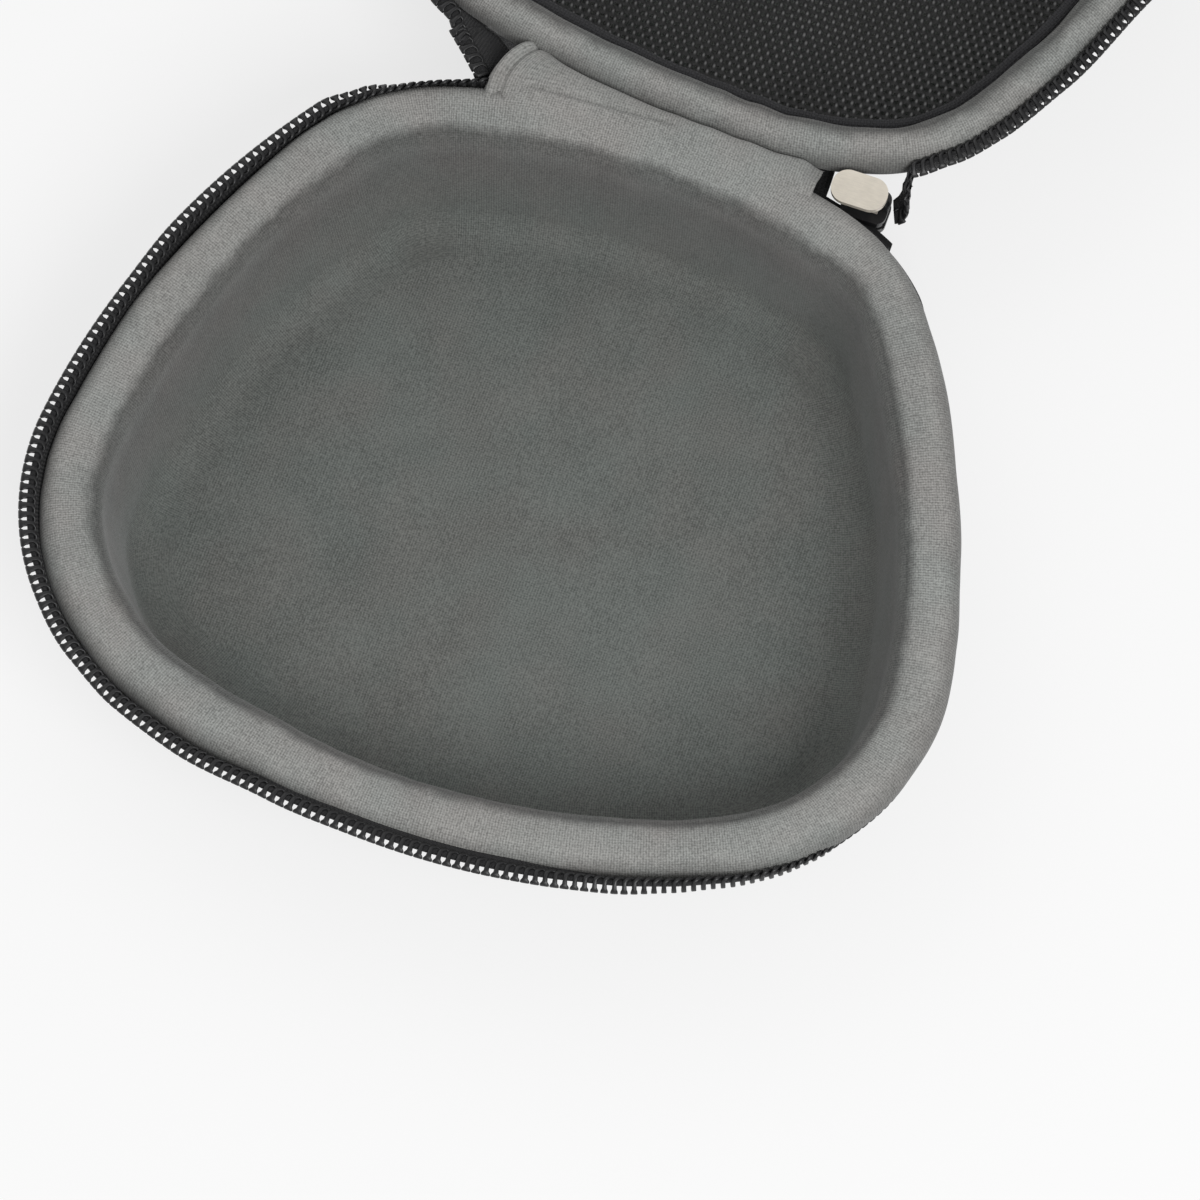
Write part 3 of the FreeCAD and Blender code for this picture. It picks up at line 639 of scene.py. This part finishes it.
def zip_curves(s, state, half):
    """Root, middle and spine curves of the tape, and the coil's outward direction.

    Each state is the coil's tip out from the outline, its height from the rim, its angle, and how much
    of the rim's flank the tape covers. Where the angle passes -1.3 the coil tucks in under the rim.
    """
    centre, normal = outline(s)
    tip, height, angle, cover = state.T
    out = tip - COIL_REACH * np.cos(angle)
    up = height - COIL_REACH * np.sin(angle)
    soft = lean(half, s)

    def at(out, up):
        return np.concatenate([centre + normal * out[:, None], (RIM + up)[:, None]], -1)

    tuck = step(-angle, 1.3, 2.0)
    out = out + soft * tuck
    root_out = 0.05 + soft - 1.0 * cover - 1.1 * tuck
    root_up = -6.0 + 4.3 * cover - 1.0 * tuck
    middle_out = np.maximum(0.6 * out + 0.4 * root_out, soft + 0.25 * (1 - cover) - 1.5 * tuck)
    middle_up = np.where(up > root_up, 0.45 * root_up + 0.55 * up, 0.5 * (root_up + up))
    outward = np.concatenate([normal * np.cos(angle)[:, None], np.sin(angle)[:, None]], -1)
    return at(root_out, root_up), at(middle_out, middle_up), at(out, up), outward


def distances(points):
    """Distance along a line in space at each of its points."""
    return np.concatenate([[0], np.cumsum(np.linalg.norm(np.diff(points, axis=0), axis=1))])


def unit(vectors):
    return vectors / np.linalg.norm(vectors, axis=-1, keepdims=True)


def tape_piece(name, root, middle, spine, outward, turned, reach):
    """Woven tape from its sewn root over a bend to a flat edge that carries the coil."""
    edge = spine + outward * reach[:, None]
    across = []
    for t in np.linspace(0, 1, 7):
        across.append(root * (1 - t) ** 2 + middle * 2 * t * (1 - t) + spine * t * t)
    across.append(edge)
    sheet = np.stack(across, 1)
    along = unit(np.gradient(sheet, axis=0))
    over = unit(np.gradient(sheet, axis=1))
    normal = unit(np.cross(over, along)) * TAPE_HALF
    both = np.concatenate([sheet + normal, (sheet - normal)[:, ::-1]], 1)
    steps = distances(spine)
    widths = distances(sheet[len(sheet) // 2])
    v = np.concatenate([widths, widths[::-1] + 12, [widths[0]]])
    return grid_piece(name, both, steps[:, None], v[None, :], tube=True, turned=turned, caps=True)


def coil_piece(name, spine, outward, turned, spread):
    """Nylon coil: for each tooth a lower leg, a broad head, an upper leg and the crossing to the next."""
    steps = distances(spine)
    count = int(steps[-1] / TOOTH_PITCH)
    pitch = steps[-1] / count
    tooth = np.array(TOOTH)
    along = ((np.arange(count)[:, None] + 0.2 + tooth[None, :, 0]) * pitch).ravel()

    def at(curve):
        return np.stack([np.interp(along, steps, curve[:, k]) for k in range(curve.shape[1])], -1)

    out = unit(at(outward))
    tangent = unit(at(np.gradient(spine, axis=0)))
    up = unit(np.cross(out, tangent))
    rest = np.tile(tooth, (count, 1))
    path = at(spine) + out * rest[:, 1:2] + up * rest[:, 2:3]
    heading = unit(np.gradient(path, axis=0))
    wide = tangent - heading * np.sum(tangent * heading, -1, keepdims=True)
    small = np.linalg.norm(wide, axis=-1, keepdims=True) < 0.35
    wide = unit(np.where(small, out - heading * np.sum(out * heading, -1, keepdims=True), wide))
    thick = unit(np.cross(heading, wide))
    broad = rest[:, 3] + rest[:, 5] * at(spread[:, None])[:, 0]
    wire = np.array(WIRE)
    rings = (path[:, None, :] + wide[:, None, :] * (wire[None, :, :1] * broad[:, None, None])
             + thick[:, None, :] * (wire[None, :, 1:] * rest[:, 4][:, None, None]))
    u = np.arange(len(path)) * 0.5
    v = np.linspace(0, 2, len(wire) + 1)
    return grid_piece(name, rings, u[:, None], v[None, :], tube=True, turned=turned, caps=True)


# distance along the outline, then the coil's tip out, height from the rim, angle, cover of the flank and
# spread of the heads
BASE_ZIP = [(34, (0.9, -3.2, -1.5, 0.0, 0.3)), (44, (0.4, -3.4, -1.4, 0.0, 0.36)),
            (53, (1.2, -2.6, -1.0, 0.0, 0.44)), (61, (2.9, -1.4, -0.4, 0.0, 0.48)),
            (69, (4.4, -1.0, 0.0, 0.0, 0.485)), (106, (4.5, -0.9, 0.0, 0.0, 0.485)),
            (122, (3.9, -0.9, 0.0, 0.3, 0.485)), (188, (3.9, -0.9, 0.0, 0.2, 0.485)),
            (202, (4.5, -0.9, 0.0, 0.0, 0.485)), (214, (5.5, -0.9, 0.0, 0.0, 0.485)),
            (228, (5.4, -0.9, 0.0, 0.0, 0.485)), (248, (3.9, -0.8, 0.0, 0.7, 0.485)),
            (266, (3.4, -0.8, 0.0, 1.0, 0.485)), (294, (3.5, -0.9, 0.0, 1.0, 0.48)),
            (306, (3.6, -1.0, -0.2, 0.8, 0.45)), (317, (3.5, -1.8, -0.5, 0.5, 0.28)),
            (327, (2.7, -2.8, -0.9, 0.3, 0.06)), (336, (1.7, -3.8, -1.2, 0.1, 0.0)),
            (345, (0.9, -4.6, -1.4, 0.0, 0.0)), (354, (-0.1, -6.4, -1.6, 0.0, 0.0)),
            (365, (-2.2, -10.6, -2.0, 0.0, 0.1)), (470, (-2.2, -10.8, -2.0, 0.0, 0.2)),
            (486, (-0.8, -11.0, -1.2, 0.0, 0.3)), (499, (2.4, -10.4, -0.3, 0.0, 0.4))]
LID_ZIP = [(48.6, (5.3, -3.2, -0.4, 0.0, 0.46)), (56, (4.9, -1.6, -0.1, 0.0, 0.48)),
           (66, (4.3, -1.0, 0.0, 0.0, 0.485)), (82, (3.6, -0.9, 0.0, 0.1, 0.485)),
           (104, (2.3, -0.9, 0.0, 0.9, 0.485)), (130, (3.6, -0.9, 0.0, 0.4, 0.485)),
           (160, (4.3, -0.9, 0.0, 0.0, 0.485)), (460, (4.3, -0.9, 0.0, 0.0, 0.485)),
           (486, (3.6, -0.9, 0.0, 0.0, 0.485)), (497, (3.7, -0.9, 0.0, 0.0, 0.485)),
           (503, (6.8, -0.9, 0.0, 0.0, 0.485))]


def make_zip(half, keys, turned):
    """Tape and coil of one half.

    Returns the root, the spine and the outward direction where the zip starts, in the row frame.
    """
    s = np.linspace(keys[0][0], keys[-1][0], ZIP_STEPS)
    state = smooth_along(keys, s)
    root, middle, spine, outward = zip_curves(s, state[:, :4], half)
    reach = TAPE_EDGE + 1.3 * step(s, 486, 496) * turned
    tape = tape_piece(half + "_tape", root, middle, spine, outward, turned, reach)
    dress(tape, "tape", half, "zip_tape", half + "_zip_tape")
    coil = coil_piece(half + "_coil", spine, outward, turned, state[:, 4])
    dress(coil, "coil", half, "zip_coil", half + "_zip_coil")
    facing = np.array((-1, -1, 1) if turned else (1, 1, 1))
    return in_row(root[0], turned) / MM, in_row(spine[0], turned) / MM, outward[0] * facing


def bend_with_lid(piece):
    """Bakes a piece's world transform into its mesh; the piece does not bend with the lid."""
    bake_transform(piece)


def make_crossing(name, path, roots, outward):
    """Where the closed end of the zip crosses the hinge line."""
    fine = np.linspace(0, 1, CROSSING_STEPS)

    def finer(points):
        points = np.array(points, float)
        rough = np.linspace(0, 1, len(points))
        return np.stack([np.interp(fine, rough, points[:, k]) for k in range(3)], -1)

    spine, root, out = finer(path), finer(roots), unit(finer(outward))
    middle = (root + spine) / 2 - np.array([0, 0, 0.4])
    tape = tape_piece(name + "_tape", root, middle, spine, out, False, np.full(CROSSING_STEPS, 1.9))
    coil = coil_piece(name + "_coil", spine, out, False, np.full(CROSSING_STEPS, 0.46))
    for piece, material, slot in ((tape, "tape", "zip_tape"), (coil, "coil", "zip_coil")):
        dress(piece, material, None, slot)
        bend_with_lid(piece)
    return tape


make_zip("base", BASE_ZIP, False)
lid_end = make_zip("lid", LID_ZIP, True)
left_crossing = make_crossing(
    "left_crossing",
    [(-45.3, 87.6, 35.9), (-41.5, 84.2, 35.6), (-37.8, 80.8, 34.6), (-35.2, 78.3, 32.2)],
    [(-41.5, 91.0, 31.5), (-38.0, 90.0, 31.0), (-34.5, 87.5, 31.0), (-32.8, 84.0, 30.0)],
    [(-0.62, -0.78, 0.0), (-0.66, -0.74, 0.1), (-0.66, -0.7, 0.1), (-0.66, -0.7, 0.0)])
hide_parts("zip_end_left")
make_crossing(
    "right_crossing",
    [lid_end[1], (49.7, 84.4, 32.4), (50.2, 83.3, 30.4), (49.9, 82.3, 28.6), (48.4, 81.6, 27.4)],
    [lid_end[0], (48.4, 87.0, 31.2), (48.6, 86.3, 29.4), (48.2, 85.6, 28.0), (47.3, 84.6, 27.0)],
    [lid_end[2], (0.35, -0.92, -0.2), (0.3, -0.93, -0.2), (0.35, -0.9, -0.2), (0.4, -0.88, -0.25)])


# hinge cloth

def back_edge(half, x):
    """Row y of a half's back flank at row x, with its lean."""
    x = np.asarray(x, float) * (-1 if half == "lid" else 1)
    table = np.linspace(-70, 70, 1401)
    points, normals = outline(table)
    s = np.interp(-x, -points[:, 0], table)
    y = np.interp(-x, -points[:, 0], points[:, 1])
    y = y + lean(half, s) * np.interp(-x, -points[:, 0], normals[:, 1])
    return FOLD_Y - y if half == "lid" else y


# across the gusset: shift from the base's back edge, share of the gap, height from the rim
GUSSET_PROFILE = [(-5.6, 0, -0.50), (-4.6, 0, -0.12), (-3.4, 0, 0.12), (-1.2, 0, 0.10), (0, 0.12, -0.05),
                  (0, 0.4, -0.35), (0, 0.7, -0.9), (0, 0.92, -1.9), (0, 1.0, -3.2), (0.7, 1.0, -5.0)]
GUSSET_ENDS = (-36.4, 32.6)
WEB_ENDS = (-33.5, 34.5)
WEB_INSET = 1.4
WEB_DROP = 7.2


def smooth_profile(profile, count):
    """A profile as count points, with its corners eased."""
    profile = np.array(profile)
    fine = np.linspace(0, len(profile) - 1, count)
    smooth = np.stack([np.interp(fine, np.arange(len(profile)), profile[:, k]) for k in range(3)], -1)
    for _ in range(3):
        smooth[1:-1] = (smooth[:-2] + 2 * smooth[1:-1] + smooth[2:]) / 4
    return smooth


def make_gusset():
    """Grey gusset from the top of the base's rim over the valley to the lid's flank."""
    x = np.linspace(*GUSSET_ENDS, 300)
    near, far = back_edge("base", x), back_edge("lid", x)
    gap = far - near
    profile = smooth_profile(GUSSET_PROFILE, 46)
    drop = step(x, GUSSET_ENDS[1] - 4.6, GUSSET_ENDS[1])
    from_end = x - GUSSET_ENDS[0]
    # rolled hem with a groove beside it, turned down at the very end
    hem = 1.0 * np.exp(-((from_end - 1.5) / 0.85) ** 2) - 0.75 * np.exp(-((from_end - 3.3) / 0.55) ** 2)
    hem = hem - 1.9 * (1 - step(from_end, 0.0, 0.75))
    rows = []
    for shift, share, up in profile:
        y = near + shift + gap * share
        bend = 4.2 * share ** 2.2 * (1 - step(from_end, 3.0, 14.0))
        sink = 1.1 * step(-shift, 0.3, 2.2) * (1 - step(from_end, 1.5, 7.0))
        crease = 0.9 * np.exp(-((y - (79.9 + (x + 28.7) * 0.053)) / 0.4) ** 2)
        crease = crease * step(x, -30, -27) * (1 - step(x, 0, 4))
        uneven = 0.14 * np.sin(x / 3.1 + y / 2.3) * np.sin(x / 7.7 + 1.0) * step(share, 0.0, 0.3)
        height = RIM + up - crease + uneven + hem - sink - drop * (0.6 + 3.0 * step(share, 0.0, 0.7))
        rows.append(np.stack([x + bend, y, height], -1))
    sheet = np.stack(rows, 1)
    across = distances(sheet[130])
    gusset = grid_piece("gusset", sheet, x[:, None], 10.0 + across[None, :])
    dress(gusset, "gusset", None, "gusset_tricot", "hinge_gusset")
    bend_with_lid(gusset)


def make_web():
    """Black web under the gusset, from shell to shell."""
    x = np.linspace(*WEB_ENDS, 90)
    near, far = back_edge("base", x) - WEB_INSET, back_edge("lid", x) + WEB_INSET
    shares = np.linspace(0, 1, 17)
    rows = []
    for t in shares:
        down = WEB_DROP + 1.6 * math.sin(math.pi * t)
        rows.append(np.stack([x, near + (far - near) * t, np.full_like(x, RIM - down)], -1))
    web = grid_piece("web", np.stack(rows, 1), x[:, None], 14 * shares[None, :])
    dress(web, "web", None, "hinge_cloth", "hinge_web")
    bend_with_lid(web)


make_gusset()
make_web()


# net pocket

def inside_outline(x, y, inset):
    """Whether points lie inside the outline moved inwards."""
    s = np.linspace(0, AROUND, 1440, endpoint=False)
    centre, normal = outline(s)
    edge = centre - normal * (inset - lean("lid", s))[:, None]
    reach = np.arctan2(edge[:, 1], edge[:, 0])
    order = np.argsort(reach)
    radius = np.interp(np.arctan2(y, x), reach[order], np.hypot(edge[order, 0], edge[order, 1]), period=TAU)
    return np.hypot(x, y) < radius


def net_height(x, y):
    """Height of the net's middle surface."""
    return RIM + NET_TOP + 0.25 * np.sin(x / 19 + 1.0) * np.sin(y / 23)


def make_net():
    """Open cells of knitted yarn."""
    across, up = CELL_ACROSS, CELL_UP
    columns, rows = int(84 / across), int(135 / up)
    keys = {}
    vertices, faces = [], []

    def vertex(x, y, z):
        key = (round(x, 3), round(y, 3), round(z, 2))
        if key not in keys:
            keys[key] = len(vertices)
            vertices.append((x, y, net_height(x, y) + z))
        return keys[key]

    corners = [(0.0, 2 / 3), (-0.5, 1 / 3), (-0.5, -1 / 3), (0.0, -2 / 3), (0.5, -1 / 3), (0.5, 1 / 3)]
    for row in range(rows):
        cy = NET_START + row * up
        for column in range(-columns, columns + 1):
            cx = (column + 0.5 * (row % 2)) * across
            if not inside_outline(np.array(cx), np.array(cy), NET_INSET):
                continue
            outer = [vertex(cx + a * across, cy + b * up, 0.16) for a, b in corners]
            inner = [vertex(cx + a * across * 0.46, cy + b * up * 0.5, -0.16) for a, b in corners]
            for k in range(6):
                after = (k + 1) % 6
                faces.append([outer[k], outer[after], inner[after], inner[k]])
    flat = np.array(vertices)
    uvs = [tuple(flat[i, :2]) for f in faces for i in f]
    net = mesh_piece("net", in_row(flat, True), faces, uvs)
    dress(net, "net", "lid", "net_cord", "lid_net")


def make_border():
    """The net's border, sewn to the lining; it runs from one end of the binding round to the other."""
    section = np.array([(9.1, NET_TOP + 0.45), (9.35, NET_TOP + 0.7), (10.5, NET_TOP + 0.55),
                        (11.3, NET_TOP + 0.42), (11.5, NET_TOP + 0.1), (11.3, NET_TOP - 0.25),
                        (9.5, NET_TOP - 0.4)])
    points = ring_points(ROUND, section, "lid")
    behind = points[:, 2, 1] > NET_FRONT + 0.5
    keep = np.where(behind)[0]
    start = keep[np.argmax(np.diff(np.append(keep, keep[0] + len(ROUND))) > 1)] + 1
    order = [(start + k) % len(ROUND) for k in range(len(ROUND))]
    order = [i for i in order if behind[i]]
    border = grid_piece("net_border", points[order], np.arange(len(order))[:, None] * 0.7,
                        lengths_of(section)[None, :], turned=True)
    dress(border, "elastic", "lid", "net_cord", "lid_net")


def make_binding():
    """Ribbed elastic binding on the pocket's open edge."""
    half = 71.0
    x = np.linspace(-half, half, 430)
    section = rounded([(-3.0, 0.0, 0.7), (-3.0, 0.75, 0.7), (3.0, 0.75, 0.7), (3.0, -0.75, 0.7),
                       (-3.0, -0.75, 0.7), (-3.0, 0.0)], 0.35)[:-1]
    ribs = 1 + 0.12 * np.cos(x * TAU / 1.32)
    bow = 0.5 * (1 - (x / half) ** 2)
    y = NET_FRONT + 3.0 + bow[:, None] + section[None, :, 0]
    z = RIM + NET_TOP - 0.55 + section[None, :, 1] * ribs[:, None]
    points = np.stack([np.broadcast_to(x[:, None], y.shape), y, z], -1)
    v = np.append(lengths_of(section), lengths_of(section)[-1] + 0.4)
    band = grid_piece("binding", points, x[:, None], v[None, :], tube=True, turned=True, caps=True)
    dress(band, "elastic", "lid", "binding_elastic", "net_binding")


make_net()
make_border()
make_binding()


# slider and pull

def redress(node, material):
    """Gives a solid of the frame that shows as it is its detailed material."""
    for slot in bpy.data.objects[node].material_slots:
        slot.material = MATERIALS[material]


redress("slider", "slider")
redress("pull_tab", "pull")
redress("zip_end_right", "tape")


# stage

def make_stage():
    """Pale floor that keeps the shadow, under a plain world; both show white to the camera."""
    floor = mesh_piece("studio_floor", np.array([(-3, -3, -0.0003), (3, -3, -0.0003), (3, 3, -0.0003),
                                                 (-3, 3, -0.0003)]), [[0, 1, 2, 3]], smooth=False)
    n = Nodes("studio_floor")
    path = n.add("ShaderNodeLightPath")
    seen = n.math("MAXIMUM", path.outputs["Is Camera Ray"],
                  n.math("MAXIMUM", path.outputs["Is Glossy Ray"], path.outputs["Is Transmission Ray"]))
    n.finish(Base_Color=(0.86, 0.86, 0.86, 1.0), Roughness=0.9)
    glow = n.add("ShaderNodeEmission", {"Color": (1, 1, 1, 1), "Strength": 1.0})
    mix = n.add("ShaderNodeMixShader", {0: n.math("MULTIPLY", seen, 0.72)})
    n.tree.links.new(n.shader.outputs[0], mix.inputs[1])
    n.tree.links.new(glow.outputs[0], mix.inputs[2])
    n.tree.links.new(mix.outputs[0], n.tree.nodes["Material Output"].inputs["Surface"])
    floor.data.materials.append(n.material)
    world = bpy.data.worlds.new("studio")
    bpy.context.scene.world = world
    world.use_nodes = True
    tree = world.node_tree
    background = tree.nodes["Background"]
    path = tree.nodes.new("ShaderNodeLightPath")
    seen = tree.nodes.new("ShaderNodeMath")
    seen.operation = "MAXIMUM"
    tree.links.new(path.outputs["Is Camera Ray"], seen.inputs[0])
    tree.links.new(path.outputs["Is Transmission Ray"], seen.inputs[1])
    strength = tree.nodes.new("ShaderNodeMath")
    strength.operation = "MULTIPLY_ADD"
    tree.links.new(seen.outputs[0], strength.inputs[0])
    strength.inputs[1].default_value = 0.55
    strength.inputs[2].default_value = 0.45
    tree.links.new(strength.outputs[0], background.inputs["Strength"])
    background.inputs["Color"].default_value = (1, 1, 1, 1)


def area_lamp(name, place, target, size, power):
    """A square lamp at a place in metres that looks at a target."""
    lamp = bpy.data.lights.new(name, "AREA")
    lamp.size = size
    lamp.energy = power
    piece = bpy.data.objects.new(name, lamp)
    bpy.context.scene.collection.objects.link(piece)
    piece.location = place
    piece.rotation_euler = (Vector(target) - Vector(place)).to_track_quat("-Z", "Y").to_euler()


def make_camera():
    """The photograph's viewpoint."""
    elevation, azimuth, roll = (math.radians(a) for a in (69.66, 19.44, 0.11))
    target = Vector((21.81, -18.19, 37.0)) * MM
    back = Vector((math.sin(azimuth) * math.cos(elevation), -math.cos(azimuth) * math.cos(elevation),
                   math.sin(elevation)))
    right = Vector((math.cos(azimuth), math.sin(azimuth), 0))
    up = back.cross(right)
    turned_right = right * math.cos(roll) + up * math.sin(roll)
    turned_up = up * math.cos(roll) - right * math.sin(roll)
    data = bpy.data.cameras.new("camera")
    data.sensor_width = 36.0
    data.lens = 191.35
    camera = bpy.data.objects.new("camera", data)
    bpy.context.scene.collection.objects.link(camera)
    place = target + back * 1.2271
    rows = [(turned_right[i], turned_up[i], back[i], place[i]) for i in range(3)]
    camera.matrix_world = Matrix(rows + [(0, 0, 0, 1)])
    data.clip_start = 0.01
    data.clip_end = 20
    bpy.context.scene.camera = camera


make_stage()
make_camera()
area_lamp("key", (0.65, -0.60, 1.05), (0, 0.02, 0.03), 0.7, 11.0)
area_lamp("fill", (-0.70, 0.60, 0.95), (0, 0.08, 0.03), 1.0, 2.6)
bpy.context.scene.view_settings.view_transform = "Standard"
